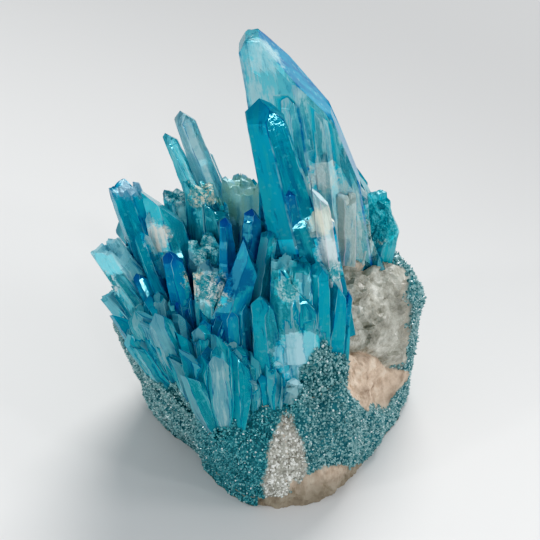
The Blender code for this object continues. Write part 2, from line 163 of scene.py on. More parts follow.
def crystal(name, spec, seed, grow=0.0):
    # Surface of (turn, height): columns up the six sides, then rings in over the cap to its middle.
    rng = np.random.default_rng(seed)
    spec = dict(spec)
    spec["shape"] = crystalShape[spec["end"]]
    spec["length"] = float(np.linalg.norm(np.array(spec["tip"], float) - np.array(spec["foot"], float)))
    length, half = spec["length"], spec["width"] / 2
    stepCount = crystalShape["steps"]
    steps = [(rng.uniform(0.25, 0.97), rng.integers(6), rng.uniform(0.3, 1) * crystalShape["stepDepth"] * min(1, half / 3))
             for _ in range(stepCount * 6)]
    chance = {"steps": steps}
    ripple = rng.uniform(-1, 1, 2) * half
    columns, rowCount, tipRows, capRings = crystalShape["fine" if spec["width"] > 4 else "small"]
    cuts = spec["shape"]["cuts"]

    def ceiling(x, y):
        # Lowest of the slanted cuts over (x, y), less shell-like ripples round a strike point.
        h = np.full(np.shape(x), length + 3 * half)
        for turn, lean, rise in cuts:
            t, l = math.radians(turn), math.radians(lean)
            plane = length + rise * half - (x * math.cos(t) + y * math.sin(t)) * math.cos(l) / math.sin(l)
            h = np.minimum(h, plane + grow / math.sin(l))
        if spec["end"] == "snapped":
            away = np.hypot(x - ripple[0], y - ripple[1])
            spot = np.stack([x, y, 0 * x + seed], axis=-1)
            chips = brokenFaces(spot.reshape(-1, 3), crystalShape["chipSize"], seed, crystalShape["chipTilt"]).reshape(np.shape(x))
            h = h + crystalShape["breakDepth"] * np.sin(away * 1.7 + seed) + chips - 0.6
        return h

    columns = np.array(columns)
    side = np.repeat(np.arange(6), len(columns))
    part = np.tile(columns, 6)
    count = len(side)

    def surface(z):
        # z is rows by columns; each column keeps to its own side
        c = corners(sectionDistances(z, spec, chance, grow))
        j = np.arange(count)
        start, stop = c[:, j, (side - 1) % 6], c[:, j, side]
        return start * (1 - part)[None, :, None] + stop * part[None, :, None]

    if cuts:
        top = np.full((1, count), length)
        for _ in range(4):
            xy = surface(top)
            top = ceiling(xy[..., 0], xy[..., 1])
        tops = top[0]
        share = np.linspace(0, 1, rowCount + 6)
    else:
        low, high = 0.0, length + 2 * half
        for _ in range(40):
            mid = (low + high) / 2
            if openness(sectionDistances(np.array([mid]), spec, chance, grow)) > 0.03:
                low = mid
            else:
                high = mid
        tops = np.full(count, low)
        shoulder = 1 - 1.6 * half / length if length > 3 * half else 0.5
        share = np.concatenate([np.linspace(0, shoulder, rowCount, endpoint=False),
                                np.linspace(shoulder, 1, tipRows)])
    z = share[:, None] * tops[None, :] - grow * (1 - share[:, None])
    xy = surface(np.maximum(z, 0))
    rows = [np.concatenate([xy, z[..., None]], axis=2)]
    if cuts:
        rim = xy[-1]
        for s in np.linspace(0, 1, capRings + 1)[1:-1]:
            inner = rim * (1 - s)
            rows.append(np.concatenate([inner, ceiling(inner[:, 0], inner[:, 1])[:, None]], axis=1)[None])
    grid = np.concatenate(rows)
    m = len(grid)
    local = grid.reshape(-1, 3)
    base = np.array([[0, 0, -grow]])
    crown = grid[-1].mean(axis=0)[None]
    if cuts:
        crown[0, 2] = ceiling(crown[:, 0], crown[:, 1])[0]
    local = np.concatenate([local, base, crown])
    points = np.array(spec["foot"], float) + local @ np.stack(axes(spec))

    i = np.arange(m - 1)[:, None] * count
    j = np.arange(count)[None, :]
    jn = (j + 1) % count
    quads = np.stack([i + j, i + jn, i + count + jn, i + count + j], axis=-1).reshape(-1, 4)
    j = np.arange(count)
    jn = (j + 1) % count
    bottom = np.stack([jn, j, np.full(count, m * count)], axis=1)
    upper = np.stack([(m - 1) * count + j, (m - 1) * count + jn, np.full(count, m * count + 1)], axis=1)
    made = makeObject(name, points, quads.tolist() + bottom.tolist() + upper.tolist())

    mesh = made.data
    setValues(mesh, "rise", np.clip(local[:, 2] / length, 0, 1.2))
    setValues(mesh, "shade", np.full(len(local), spec["shade"]))
    setValues(mesh, "broad", np.full(len(local), spec["width"] * 0.577))
    uv = mesh.uv_layers.new(name="growth")
    around = np.concatenate([side + part, [0.0]])
    quadU = np.stack([around[:-1], around[1:], around[1:], around[:-1]], axis=1)
    quadU[-1, 1:3] = 6.0
    quadU = np.tile(quadU, (m - 1, 1))
    quadV = local[quads, 2]
    capU, capV = 10.5 + 0.45 * local[:, 0] / half, local[:, 1] + local[:, 2]  # a cut end is laid out flat, as one face
    onCap = np.repeat(np.arange(m - 1) >= len(xy) - 1, count)
    quadU[onCap], quadV[onCap] = capU[quads[onCap]], capV[quads[onCap]]
    endU = np.stack([around[:-1], around[:-1], around[:-1]], axis=1)
    flatV = np.concatenate([local[bottom, 2].ravel(), (capV if cuts else local[:, 2])[upper].ravel()])
    u = np.concatenate([quadU.ravel(), endU.ravel(), (capU[upper] if cuts else endU).ravel()])
    v = np.concatenate([quadV.ravel(), flatV])
    uv.data.foreach_set("uv", np.stack([u, v * 0.1], axis=1).astype(np.float32).ravel())
    return made


crystalGroups = {
    "front_spire": (
        ((13, -12, 38), (0, -2, 93), 15, 0.7, 0, "spire", 0.25),
        # shade 1.0 here: its near-white colour is a painted reflection along this crystal
        ((18, -14, 36), (13, -8, 74), 5, 0.8, 0, "slant", 1.0),
        ((11, -15, 38), (6, -9, 74), 4.5, 0.8, 0, "point", 0.05),
        ((20, -13, 35), (15, -8, 66), 4.5, 0.8, 0, "point", 0.15),
    ),
    "tall_blade": (
        ((17, 12, 27), (5.5, 14, 100), 24, 0.42, 0, "fin", 0.78),
        ((13, 7, 34), (6, 9, 87), 6, 0.8, 0, "point", 0.70),
        ((19, 8, 34), (13, 11, 85), 7, 0.8, 20, "slant", 0.85),
        ((24, 14, 28), (22, 17, 63), 9, 0.8, 0, "slant", 0.75),
        ((20, 7, 34), (20, 9, 61), 6, 0.8, 0, "snapped", 1.0),
    ),
    "leaning_prism": (
        ((-11, -22, 36), (-1, -13, 64), 8.5, 0.8, 0, "slant", 0.10),
        ((-7, -16, 46), (-8, -9, 66), 5, 0.9, 0, "point", 0.05),
        ((-3, -15, 45), (-2, -7, 67), 5.5, 0.9, 0, "point", 0.05),
        ((-1, -17, 44), (2, -10, 63), 5, 0.9, 0, "snapped", 0.40),
    ),
    "twin_points": (
        ((-5.5, 4, 43), (-19.3, 22, 75), 7, 1, 0, "point", 0.92),
        ((-9.5, 5, 45), (-23, 20, 70), 6, 1, 0, "point", 0.72),
        ((-4, 8, 42), (-14, 22, 64), 4.5, 0.8, 0, "chisel", 0.75),
    ),
    "left_fan": (
        ((-20, -12, 34), (-33, 9, 64), 8.5, 0.7, 20, "snapped", 0.20),
        ((-14, -16, 33), (-25, 4, 67), 10.5, 0.8, 0, "slant", 0.35),
        ((-19, -15, 32), (-26, -1, 62), 3.8, 0.8, 0, "chisel", 0.90),
        ((-17, -20, 31), (-37.5, 0, 52.5), 9.5, 0.8, 0, "snapped", 0.80),
        ((-17, -16, 32), (-31, 2, 54), 6, 0.8, 0, "snapped", 0.75),
        ((-13, -24, 26), (-21, -11, 58), 6.5, 0.9, 0, "point", 0.10),
        ((-14, -24, 25), (-29, -9, 50), 5, 0.9, 0, "point", 0.15),
        ((-14, -24, 23), (-34, -8, 45), 6, 0.8, 0, "point", 0.45),
        ((-16, -21, 23), (-38, -3, 41), 6, 0.8, 0, "snapped", 0.55),
        ((-13, -26, 24), (-24, -13, 48), 5, 0.9, 0, "point", 0.40),
        ((-12, -27, 22), (-17, -15, 49), 5.5, 0.9, 0, "point", 0.20),
        ((-15, -25, 25), (-20, -17, 47), 6, 0.8, 0, "point", 0.30),
        ((-18, -23, 24), (-27, -14, 44), 5.5, 0.8, 0, "point", 0.45),
        ((-20, -20, 24), (-32, -9, 42), 5.5, 0.8, 0, "slant", 0.30),
    ),
    "front_fan": (
        ((-7, -27, 20), (-8, -19, 50), 8.5, 0.8, 0, "point", 0.10),
        ((3, -27, 20), (0, -20, 52), 8.5, 0.8, 10, "point", 0.35),
        ((-10, -27, 23), (-12, -18, 48), 6.5, 0.8, 0, "slant", 0.25),
        ((9, -26, 20), (8, -17, 59), 10.5, 0.6, 0, "slant", 0.50),
        ((7, -22, 36), (7, -14, 60), 10.5, 0.8, 0, "snapped", 0.45),
        ((13, -24, 20), (13, -15, 58), 7, 0.8, 0, "point", 0.30),
        ((-4, -27, 22), (-4, -19, 50), 5, 0.8, 0, "point", 0.25),
        ((15, -22, 24), (18, -11, 53), 7, 0.8, 0, "slant", 0.20),
        ((16, -20, 22), (20, -11, 47), 5, 0.8, 0, "point", 0.15),
    ),
    "centre_blocks": (
        ((-12, -6, 40), (-15, 6, 67), 8, 0.8, 0, "snapped", 0.45),
        ((-6, -2, 40), (-5, 10, 65), 10, 0.7, 0, "snapped", 0.90),
        ((-8, -8, 41), (-11, 2, 63), 7, 0.9, 0, "snapped", 0.45),
        ((-17, -3, 40), (-21, 8, 62), 6, 0.8, 0, "snapped", 0.70),
        ((-12, -14, 38), (-13, -6, 58), 9, 0.7, 0, "snapped", 0.60),
        ((-10, -22, 34), (-12, -13, 56), 8.5, 0.8, 0, "snapped", 0.70),
    ),
    "rear_ridge": (
        ((22, 17, 24), (27, 22, 57), 9, 0.9, 0, "slant", 0.42),
        ((24, 15, 22), (29, 21, 52), 9, 0.8, 20, "snapped", 0.48),
        ((26, 12, 22), (32, 18, 48), 8, 0.8, 0, "point", 0.52),
        ((25, 8, 24), (30, 13, 43), 7, 0.8, 0, "slant", 0.45),
        ((22, 10, 26), (25, 12, 47), 7, 0.8, 10, "snapped", 0.85),
        ((22, 22, 22), (24, 32, 52), 8, 0.8, 10, "point", 0.35),
    ),
    "back_fan": (
        ((8, 18, 26), (7, 28, 70), 10, 0.8, 0, "slant", 0.35),
        ((13, 20, 24), (17, 31, 60), 9, 0.8, 15, "point", 0.20),
        ((8, 21, 20), (10, 36, 46), 8, 0.9, 0, "point", 0.45),
    ),
    "back_left_fan": (
        ((-1, 14, 25), (-2, 31, 49), 8, 0.9, 0, "point", 0.30),
        ((-6, 13, 25), (-11, 31, 47), 8, 0.8, 20, "snapped", 0.60),
        ((-11, 10, 26), (-21, 28, 44), 7, 0.8, 0, "slant", 0.40),
        ((-15, 6, 28), (-30, 20, 46), 7, 0.8, 0, "slant", 0.20),
        ((-17, 2, 29), (-35, 14, 48), 7, 0.8, 10, "point", 0.50),
        ((-3, 17, 20), (-6, 34, 40), 7, 0.9, 0, "slant", 0.45),
    ),
}
specWords = ("foot", "tip", "width", "flat", "roll", "end", "shade")


companionShape = {"count": {"left_fan": 3, "front_fan": 3, "leaning_prism": 2, "back_fan": 3, "back_left_fan": 3},
                  "width": (0.28, 0.55), "length": (0.35, 0.8), "lean": 0.05, "least": 6.0}


def companions(rows, count, seed):
    # Smaller crystals grown along the lower part of bigger ones, nearly parallel to them.
    rng = np.random.default_rng(seed)
    made = []
    for foot, tip, width, flat, roll, end, shade in rows:
        if width < companionShape["least"]:
            continue
        spec = dict(zip(specWords, (foot, tip, width, flat, roll, end, shade)))
        sideways, thick, along = axes(spec)
        length = float(np.linalg.norm(np.array(tip, float) - np.array(foot, float)))
        for k in range(count):
            turn = rng.uniform(0, 2 * math.pi)
            size = width * rng.uniform(*companionShape["width"])
            reach = 0.46 * width
            start = np.array(foot, float) + reach * (sideways * math.cos(turn) + thick * math.sin(turn))
            stray = rng.normal(0, companionShape["lean"], 3)
            high = length * rng.uniform(*companionShape["length"])
            finish = start + unit(along + stray) * high
            made.append((tuple(start), tuple(finish), size, 0.85, rng.uniform(0, 60), "point",
                         float(np.clip(shade + rng.uniform(-0.2, 0.2), 0, 1))))
    return made


def united(parts):
    # Joins solids a few at a time, so that no step works on a long list.
    while len(parts) > 1:
        ahead = []
        for k in range(0, len(parts), 6):
            few = parts[k:k + 6]
            if len(few) > 1:
                applied(few[0], "UNION", few[1:])
                drop(few[1:])
            ahead.append(few[0])
        parts = ahead
    return parts[0]


def crystalGroup(name, rows, seed, grow=0.0):
    # One solid from crystals that overlap.
    base = united([crystal(name + str(k), dict(zip(specWords, row)), seed + k, grow) for k, row in enumerate(rows)])
    base.name = name
    base.data.name = name
    return base


def insideCrystals(p, rows, margin=0.0):
    # Which of the points p lie within the crystals' hexagonal cores.
    within = np.zeros(len(p), bool)
    for row in rows:
        spec = dict(zip(specWords, row))
        sideways, thick, along = axes(spec)
        q = p - np.array(spec["foot"], float)
        z = q @ along
        x = q @ sideways
        y = q @ (thick / spec["flat"]) / spec["flat"]
        length = np.linalg.norm(np.array(spec["tip"], float) - np.array(spec["foot"], float))
        foot = crystalShape[spec["end"]].get("foot", 1.0)
        radius = spec["width"] * 0.5 * (foot + (1 - foot) * smooth(z / length, 0, crystalShape["footRise"])) + margin
        within |= (z > -1) & (z < length) & (np.abs(x) < radius) & (np.abs(x / 2 + y * 0.866) < radius) & (
            np.abs(x / 2 - y * 0.866) < radius)
    return within


# Body: host rock and quartz root
# Its reach along a direction is the nearest of its broad sides, rounded where they meet, plus swellings and waves.

bodyShape = {
    "centre": (0, -2, 18),
    "sharpness": 11,
    "sides": (
        ((-17, -22, 6), (-0.80, -0.57, -0.18)),
        ((-36, 3, 20), (-0.97, 0.05, -0.25)),
        ((-3, -38, 3), (-0.15, -0.98, -0.05)),
        ((12, -33.6, 6), (0.37, -0.93, 0.02)),
        ((26, -19, 6), (0.82, -0.55, 0.10)),
        ((43, 10, 22), (0.97, 0.05, -0.22)),
        ((31, 23, 20), (0.70, 0.70, -0.05)),
        ((0, 30, 20), (0.0, 1.0, -0.08)),
        ((-26, 20, 20), (-0.72, 0.68, -0.10)),
        ((-2, -2, 48), (0.0, 0.0, 1.0)),
        ((-27, 0, 39), (-0.55, 0.0, 0.83)),
        ((-2, -26, 35), (0.0, -0.70, 0.71)),
        ((29, 10, 41), (0.45, 0.0, 0.89)),
        ((20, -14, 32), (0.55, -0.45, 0.70)),
        ((0, 22, 38), (0.0, 0.62, 0.78)),
        ((0, 0, -6), (0.0, 0.0, -1.0)),
    ),
    "swellings": (
        ((0.88, 0.34, 0.22), 3.0, 45),
        ((0.74, 0.52, 0.32), 2.5, 60),
        ((0.62, -0.68, -0.33), 2.2, 18),
        ((0.90, -0.22, -0.12), -2.0, 40),
        ((-0.22, -0.90, 0.05), 1.6, 40),
        ((0.22, -0.95, -0.10), -1.2, 60),
        ((-0.93, -0.22, 0.12), 1.6, 30),
        ((0.15, 0.95, -0.10), -2.5, 12),
    ),
    "waves": (
        ((5.1, 2.3, -3.7), 0.4, 0.9),
        ((-3.2, 6.4, 4.1), 2.1, 0.8),
        ((8.3, -5.2, 6.1), 4.0, 0.5),
        ((-9.7, -8.8, 3.9), 1.3, 0.45),
        ((4.4, 13.1, -12.2), 5.2, 0.3),
        ((15.3, -6.7, 11.8), 3.3, 0.25),
    ),
    "bedPoint": (0, 0, 5),
    "bedNormal": (-0.08, -0.04, 1),
    "slabPoint": (16.5, -15.2, 30.8),  # the rock also stands up at the front right: past one plane, under another
    "slabBack": (0.785, -0.591, 0.184),
    "slabTop": (0.257, -0.857, -0.446),
}


def bodyReach(towards):
    centre = np.array(bodyShape["centre"], float)
    nearness = np.zeros(len(towards))
    for point, out in bodyShape["sides"]:
        out = unit(out)
        distance = (np.array(point, float) - centre) @ out
        nearness += (np.clip(towards @ out, 0, None) / distance) ** bodyShape["sharpness"]
    reach = nearness ** (-1 / bodyShape["sharpness"])
    for way, height, focus in bodyShape["swellings"]:
        reach += height * np.exp(-focus * (1 - towards @ unit(way)))
    for across, phase, height in bodyShape["waves"]:
        reach += height * np.sin(towards @ np.array(across) + phase)
    return reach


def mixed(h):
    h = ((h ^ (h >> 13)) * 1274126177) & 0xFFFFFFFF
    return ((h ^ (h >> 16)) & 0xFFFF) / 32767.5 - 1


def latticeValue(k, seed):
    # A random value, -1 to 1, for each whole-number point
    return mixed((k[..., 0] * 374761393 + k[..., 1] * 668265263 + k[..., 2] * 1442695041 + seed * 974634777) & 0xFFFFFFFF)


def latticeNoise(p, seed):
    # Smooth noise, -1 to 1: random values at whole-number points, blended between them.
    cell = np.floor(p).astype(np.int64)
    f = p - cell
    f = f * f * (3 - 2 * f)
    total = np.zeros(len(p))
    for step in np.ndindex(2, 2, 2):
        weight = np.prod(np.where(np.array(step), f, 1 - f), axis=1)
        total += weight * latticeValue(cell + np.array(step), seed)
    return total


def layeredNoise(p, seed, layers=4, gain=0.5):
    total, weight, scale = np.zeros(len(p)), 1.0, 1.0
    for k in range(layers):
        total += weight * latticeNoise(p * scale + 17.3 * k, seed + k)
        weight *= gain
        scale *= 2.03
    return total


def brokenFaces(p, size, seed, tilt):
    # Height of flat, tilted chips: every point belongs to the nearest of a jittered lattice of centres.
    q = p / size
    cell = np.floor(q).astype(np.int64)
    best = np.full(len(p), 1e9)
    height = np.zeros(len(p))
    for step in np.ndindex(3, 3, 3):
        k = cell + np.array(step) - 1
        jitter = np.stack([latticeValue(k, seed + c) for c in range(3)], axis=-1) * 0.45 + 0.5
        away = q - (k + jitter)
        far = (away ** 2).sum(axis=1)
        slope = np.stack([latticeValue(k, seed + 3 + c) for c in range(3)], axis=-1)
        value = 0.5 * latticeValue(k, seed + 7) + tilt * (slope * away).sum(axis=1)
        nearer = far < best
        best = np.where(nearer, far, best)
        height = np.where(nearer, value, height)
    return height * size


def smooth(x, low, high):
    t = np.clip((x - low) / (high - low), 0, 1)
    return t * t * (3 - 2 * t)


def zones(p):
    # Masks over the body, 0 to 1, of points in the tables' mm.
    x, y, z = p[:, 0], p[:, 1], p[:, 2]
    wobble = layeredNoise(p * 0.22, 31, 3) * 1.4
    fine = layeredNoise(p * 0.8, 47, 2) * 0.7
    edge = wobble + fine
    bed = (p - np.array(bodyShape["bedPoint"], float)) @ unit(bodyShape["bedNormal"])
    behindSlab, overSlab = ((p - np.array(bodyShape["slabPoint"], float)) @ unit(bodyShape[word])
                            for word in ("slabBack", "slabTop"))
    inSlab = np.minimum(behindSlab, overSlab)
    rock = np.maximum(smooth(-bed, -0.2, 0.2), smooth(inSlab, -0.2, 0.2))
    towards = p - np.array(bodyShape["centre"], float)
    towards /= np.linalg.norm(towards, axis=1)[:, None]
    milky = smooth(towards @ unit((0.86, -0.02, 0.42)) + 0.012 * edge, 0.80, 0.86)
    milky *= smooth(15 - y + 0.5 * edge, 0, 2) * smooth(37.5 - x + 0.5 * edge, 0, 1.2) * (1 - rock)
    half = np.clip(1.5 + 0.27 * (26 - z), 0, 5.3)
    streak = smooth(half - np.abs(x - 5.7) + 0.5 * edge, -0.6, 0.8) * smooth(27 - z, 0, 2) * smooth(-y, 20, 22)
    bare = smooth(z - np.maximum(66 - 1.93 * x, 6.5) + 0.6 * edge, -0.6, 0.6) * smooth(x, 17, 19)
    low = np.where(x < 20, 8.0, 8 - 1.7 * (x - 20))
    low = np.where(x < -1, -5 + 5 * smooth(x, -6, -1), low)
    bare = np.maximum(bare, smooth(low - z + 0.9 * edge, -0.7, 0.7))
    behind = smooth(y, 14, 20) * smooth(16 - z + 2 * edge, -1, 2)
    bare = np.maximum(bare * rock, behind * rock)
    drusy = (1 - milky) * (1 - bare) * (1 - streak)
    crack = np.exp(-(inSlab / 0.8) ** 2) * smooth(z, 9, 13) * smooth(x, 16, 19)
    return {"milky": milky, "streak": streak * (1 - bare), "bare": bare, "drusy": drusy, "crack": crack, "rock": rock}


groundShape = {"druse": 0.7, "rock": 0.9, "chips": (5.5, 2.3), "chipTilt": 0.5, "crack": 1.6}


def ground(towards):
    # Points of the body along the directions, with the relief that each zone has, and their masks.
    centre = np.array(bodyShape["centre"], float)
    reach = bodyReach(towards)
    place = centre + towards * reach[:, None]
    masks = zones(place)
    s = groundShape
    lumps = s["druse"] * (layeredNoise(place * 0.30, 5, 4) - 0.4)
    rough = s["rock"] * (layeredNoise(place * 0.28, 8, 5, 0.62) - 0.5)
    coarse, finer = s["chips"]
    chips = 0.55 * brokenFaces(place, coarse, 61, s["chipTilt"]) + 0.5 * brokenFaces(place, finer, 83, s["chipTilt"]) - 1.0
    relief = lumps * masks["drusy"] + rough * np.maximum(masks["bare"], masks["streak"] * 0.7) + chips * masks["milky"]
    reach = reach + relief - s["crack"] * masks["crack"]
    return centre + towards * reach[:, None], masks


stubSettings = {"count": 80, "turn": 2.39996, "lowest": 0.36, "sunk": 5.0, "rise": 5.5, "upright": 1.7,
                "width": 4.4, "seed": 11, "milkySide": (0.80, -0.12, 0.45), "milkySpread": 0.80}


def stubRows():
    s = stubSettings
    rng = np.random.default_rng(s["seed"])
    rows = []
    for i in range(s["count"]):
        up = 1 - (1 - s["lowest"]) * (i + 0.5) / s["count"]
        turn = i * s["turn"]
        level = math.sqrt(1 - up * up)
        towards = np.array([level * math.cos(turn), level * math.sin(turn), up])
        stray = rng.uniform(-0.25, 0.25, 3)
        size = float(rng.uniform(0.7, 1.3))
        if towards @ unit(s["milkySide"]) > s["milkySpread"]:
            continue
        base = np.array(bodyShape["centre"], float) + towards * bodyReach(towards[None])[0]
        along = unit(towards + np.array([0, 0, s["upright"]]) + stray)
        rows.append((tuple(base - along * s["sunk"]), tuple(base + along * s["rise"] * size), s["width"] * size, 0.85,
                     37 * i % 60, "snapped" if i % 3 == 0 else "point", 0.3 + (i * 0.37) % 0.5))
    return rows


def bodyNormal(towards):
    # Out of the body's smooth surface, from its reach a small step to each of two sides, and the area per solid angle
    first = np.cross(towards, [0.31, 0.2, 0.93])
    first /= np.linalg.norm(first, axis=1)[:, None]
    second = np.cross(towards, first)
    step = 0.012

    def beside(offset):
        q = towards + offset * step
        q /= np.linalg.norm(q, axis=1)[:, None]
        return np.array(bodyShape["centre"], float) + q * bodyReach(q)[:, None]

    here = beside(first * 0)
    normal = np.cross(beside(first) - here, beside(second) - here)
    area = np.linalg.norm(normal, axis=1) / step ** 2
    normal /= (np.linalg.norm(normal, axis=1) * np.sign((normal * towards).sum(axis=1)))[:, None]
    return normal, area


wallSettings = {
    # each stretch of wall: from turn to turn in degrees, heights, how many ribs, lengths, widths
    "stretches": (
        ((-141, -120), (25, 31), 15, (19, 26), (4.8, 7.8)),
        ((-146, -108), (31, 37), 15, (12, 18), (4.0, 6.2)),
        ((-124, -94), (22, 29), 20, (19, 28), (5.0, 8.0)),
        ((-96, -66), (26, 32), 12, (14, 21), (4.4, 6.6)),
    ),
    "outwards": 0.08, "sunk": 0.12, "depth": 0.14, "stray": 0.06, "seed": 23,
}


def wallRows():
    # Crystals that lie along the front and left walls like ribs, narrow at the foot, their axes just under the surface
    s = wallSettings
    rng = np.random.default_rng(s["seed"])
    rows = []
    for turns, heights, count, lengths, widths in s["stretches"]:
        for i in range(count):
            turn = math.radians(rng.uniform(*turns))
            height = rng.uniform(*heights)
            towards = unit((math.cos(turn) * 32, math.sin(turn) * 32, height - bodyShape["centre"][2]))
            out = bodyNormal(towards[None])[0][0]
            leftward = max(0.0, -math.cos(turn))
            field = np.array([0.06 - 0.50 * leftward, 0.28 + 0.20 * leftward, 1 - 0.30 * leftward])
            field = field + rng.normal(0, s["stray"], 3)
            along = unit(field - out * (field @ out - s["outwards"]))
            length, width = rng.uniform(*lengths), rng.uniform(*widths)
            base = np.array(bodyShape["centre"], float) + towards * bodyReach(towards[None])[0]
            base = base - out * s["depth"] * width
            rows.append((tuple(base - along * s["sunk"] * length), tuple(base + along * (1 - s["sunk"]) * length),
                         width, 0.75, rng.uniform(0, 60), "ribPoint" if i % 3 else "rib", rng.uniform(0.15, 0.75)))
    return rows


bodyGrid = {"rows": 230, "columns": 420, "bunching": 0.45}


def bodySurface(name):
    # Body as a surface of (turn, elevation) about its centre, denser at the front, its poles closed.
    s = bodyGrid
    elevation = np.linspace(-math.pi / 2, math.pi / 2, s["rows"] + 2)[1:-1]
    even = np.arange(s["columns"]) * 2 * math.pi / s["columns"]
    turn = even - s["bunching"] * np.sin(even) - math.radians(50)
    e, t = np.meshgrid(elevation, turn, indexing="ij")
    towards = np.stack([np.cos(e) * np.cos(t), np.cos(e) * np.sin(t), np.sin(e)], axis=-1).reshape(-1, 3)
    towards = np.concatenate([towards, [[0, 0, -1.0], [0, 0, 1.0]]])
    place, masks = ground(towards)
    m, n = s["rows"], s["columns"]
    i = np.arange(m - 1)[:, None] * n
    j = np.arange(n)[None, :]
    jn = (j + 1) % n
    quads = np.stack([i + j, i + jn, i + n + jn, i + n + j], axis=-1).reshape(-1, 4)
    j = np.arange(n)
    jn = (j + 1) % n
    lower = np.stack([jn, j, np.full(n, m * n)], axis=1)
    upper = np.stack([(m - 1) * n + j, (m - 1) * n + jn, np.full(n, m * n + 1)], axis=1)
    made = makeObject(name, place, quads.tolist() + lower.tolist() + upper.tolist())
    for word in ("milky", "streak", "bare", "drusy"):
        setValues(made.data, word, masks[word])
    return made


def slab(name, point, normal):
    # A big block that lies past a plane, to cut with
    normal = unit(normal)
    side = unit(np.cross(normal, [0.3, 1, 0.1]))
    other = np.cross(normal, side)
    square = [(-1, -1), (1, -1), (1, 1), (-1, 1)]
    near = [np.array(point, float) + 200 * (a * side + b * other) for a, b in square]
    far = [p + 200 * normal for p in near]
    faces = [(3, 2, 1, 0), (4, 5, 6, 7), (0, 1, 5, 4), (1, 2, 6, 5), (2, 3, 7, 6), (3, 0, 4, 7)]
    return makeObject(name, np.array(near + far), faces)


# Druse: thousands of tiny six-sided points, standing on the ground

grainShape = {"tries": 340000, "pitch": 0.41, "overPitch": 0.48, "backPitch": 0.70, "size": (0.17, 0.34), "rise": (0.9, 1.9),
              "tilt": 0.35, "sides": 0.25, "seed": 7}


def scattered():
    # Grain places: directions picked at random, thinned so that each patch of ground gets an even share.
    g = grainShape
    rng = np.random.default_rng(g["seed"])
    towards = rng.normal(size=(g["tries"], 3))
    towards /= np.linalg.norm(towards, axis=1)[:, None]
    place, masks = ground(towards)
    normal, area = bodyNormal(towards)
    pitch = np.where(place[:, 1] > 8, g["backPitch"], g["pitch"])
    wanted = area * 4 * math.pi / g["tries"] / pitch ** 2
    cover = np.clip(masks["drusy"] + masks["streak"] * 0.75, 0, 1)
    keep = (rng.random(len(place)) < wanted * cover) & (place[:, 2] > 0.5)
    keep &= (masks["drusy"] + masks["streak"]) > 0.35
    whiter = np.maximum(masks["streak"], g["sides"] * smooth(np.abs(place[:, 0] + 3), 9, 15))
    return place[keep], normal[keep], whiter[keep], pitch[keep] / g["pitch"]


# How high the druse has grown over the crystals' feet: turn about the body in degrees, height in mm
druseLine = ((-180, 29), (-165, 31), (-156, 33), (-145, 34.5), (-130, 34), (-120, 32.5), (-114, 30), (-110, 26), (-98, 25.5),
             (-88, 24), (-79, 28), (-72, 33), (-62, 40), (-54, 41), (-48, 37), (-40, 32), (-25, 0), (60, 0), (75, 25),
             (120, 28), (180, 29))


def cornerPoints(mesh):
    # A mesh's points, back in the tables' mm
    points = np.empty(len(mesh.vertices) * 3)
    mesh.vertices.foreach_get("co", points)
    return points.reshape(-1, 3) / mm + middle


def overgrown(p):
    # Share of druse over a crystal at p: one below the line, none above it, with a ragged edge.
    turn = np.degrees(np.arctan2(p[:, 1] - bodyShape["centre"][1], p[:, 0] - bodyShape["centre"][0]))
    turns, heights = np.array(druseLine, float).T
    ragged = layeredNoise(p * 0.35, 91, 3) * 2.2
    return smooth(np.interp(turn, turns, heights) + ragged - p[:, 2], -0.9, 0.9)


def scatteredOver(piece, seed):
    # Grain places on a piece's triangles, each picked by its area, where druse has grown over it.
    g = grainShape
    rng = np.random.default_rng(seed)
    mesh = piece.data
    setValues(mesh, "grown", overgrown(cornerPoints(mesh)))
    mesh.calc_loop_triangles()
    count = len(mesh.loop_triangles)
    index = np.empty(count * 3, np.int32)
    mesh.loop_triangles.foreach_get("vertices", index)
    corner = cornerPoints(mesh)[index.reshape(-1, 3)]
    first, second = corner[:, 1] - corner[:, 0], corner[:, 2] - corner[:, 0]
    across = np.cross(first, second)
    size = np.linalg.norm(across, axis=1)
    pitch = np.where(corner[:, 0, 1] > 8, g["backPitch"], g["overPitch"])
    wanted = np.where(corner[:, :, 2].min(axis=1) < 45, size / 2 / pitch ** 2, 0)
    pick = rng.choice(count, int(wanted.sum()), p=wanted / wanted.sum())
    a, b = rng.random((2, len(pick), 1))
    a, b = np.where(a + b > 1, 1 - a, a), np.where(a + b > 1, 1 - b, b)
    place = corner[pick, 0] + a * first[pick] + b * second[pick]
    keep = (rng.random(len(place)) < overgrown(place)) & (size[pick] > 1e-6)
    pick, place = pick[keep], place[keep]
    whiter = g["sides"] * smooth(np.abs(place[:, 0] + 3), 9, 15)
    return place, across[pick] / size[pick][:, None], whiter, pitch[pick] / g["pitch"]


